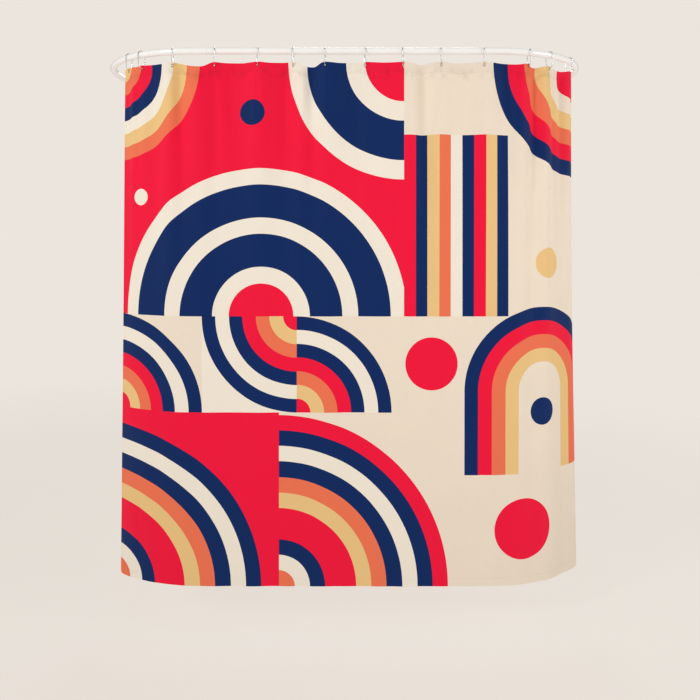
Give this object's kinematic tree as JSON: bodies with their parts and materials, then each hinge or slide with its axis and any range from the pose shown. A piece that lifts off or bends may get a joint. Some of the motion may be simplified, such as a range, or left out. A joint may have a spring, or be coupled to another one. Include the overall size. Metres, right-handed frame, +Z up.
{
  "type": "shower curtain",
  "caption": "Printed cloth shower curtain hung by wire rings in stitched buttonholes on a U-shaped wall-mounted rod.",
  "frame": {"origin": "centre of the left flange's face on the wall", "axes": "+X towards the right flange along the wall, -Y out of the wall towards the front of the rod, +Z up"},
  "size_m": [1.9226, 0.7771, 1.951],
  "materials": {
    "white_enamel": "gloss white enamel on steel tube",
    "zinc_steel": "zinc-plated",
    "cast_bracket": "die-cast, unpolished",
    "chrome_wire": "polished chrome wire",
    "buttonhole_thread": "satin-stitched polyester thread",
    "printed_polyester": "woven polyester with a geometric print"
  },
  "bodies": {
    "rod": {"front_tube": "white_enamel", "left_bend": "white_enamel", "right_bend": "white_enamel", "left_leg": "white_enamel", "right_leg": "white_enamel", "left_front_sleeve": "zinc_steel", "right_front_sleeve": "zinc_steel", "left_leg_sleeve": "zinc_steel", "right_leg_sleeve": "zinc_steel", "left_wall_bracket": "cast_bracket", "left_flange_cover": "white_enamel", "left_bracket_screw_1": "zinc_steel", "left_bracket_screw_2": "zinc_steel", "left_bracket_screw_3": "zinc_steel", "right_wall_bracket": "cast_bracket", "right_flange_cover": "white_enamel", "right_bracket_screw_1": "zinc_steel", "right_bracket_screw_2": "zinc_steel", "right_bracket_screw_3": "zinc_steel"},
    "curtain": {"curtain_panel": "printed_polyester", "ring_04": "chrome_wire", "ring_05": "chrome_wire", "ring_06": "chrome_wire", "ring_07": "chrome_wire", "ring_08": "chrome_wire", "ring_09": "chrome_wire", "ring_10": "chrome_wire", "ring_11": "chrome_wire", "ring_12": "chrome_wire", "ring_13": "chrome_wire", "ring_14": "chrome_wire", "buttonhole_04": "buttonhole_thread", "buttonhole_05": "buttonhole_thread", "buttonhole_06": "buttonhole_thread", "buttonhole_07": "buttonhole_thread", "buttonhole_08": "buttonhole_thread", "buttonhole_09": "buttonhole_thread", "buttonhole_10": "buttonhole_thread", "buttonhole_11": "buttonhole_thread", "buttonhole_12": "buttonhole_thread", "buttonhole_13": "buttonhole_thread", "buttonhole_14": "buttonhole_thread"},
    "left_end_ring": {"ring_01": "chrome_wire", "buttonhole_01": "buttonhole_thread"},
    "second_ring": {"ring_02": "chrome_wire", "buttonhole_02": "buttonhole_thread"},
    "third_ring": {"ring_03": "chrome_wire", "buttonhole_03": "buttonhole_thread"}
  },
  "joints": [
    {"name": "curtain_swing", "type": "hinge", "parent": "rod", "child": "curtain", "pos_m": [0.9273, -0.76, 0], "axis": [1, 0, 0], "range_deg": [0, 5]},
    {"name": "left_end_draw", "type": "hinge", "parent": "curtain", "child": "left_end_ring", "pos_m": [0.3913, -0.369, 0], "axis": [0, 0, 1], "range_deg": [0, 16], "deforming": ["curtain_panel"]},
    {"name": "second_ring_draw", "type": "hinge", "parent": "curtain", "child": "second_ring", "pos_m": [0.3913, -0.369, 0], "axis": [0, 0, 1], "range_deg": [0, 13.59]},
    {"name": "third_ring_draw", "type": "hinge", "parent": "curtain", "child": "third_ring", "pos_m": [0.3913, -0.369, 0], "axis": [0, 0, 1], "range_deg": [0, 2.96]}
  ],
  "couplings": [
    {"joint": "second_ring_draw", "follows": "left_end_draw", "ratio": 0.8465},
    {"joint": "third_ring_draw", "follows": "left_end_draw", "ratio": 0.1819}
  ]
}
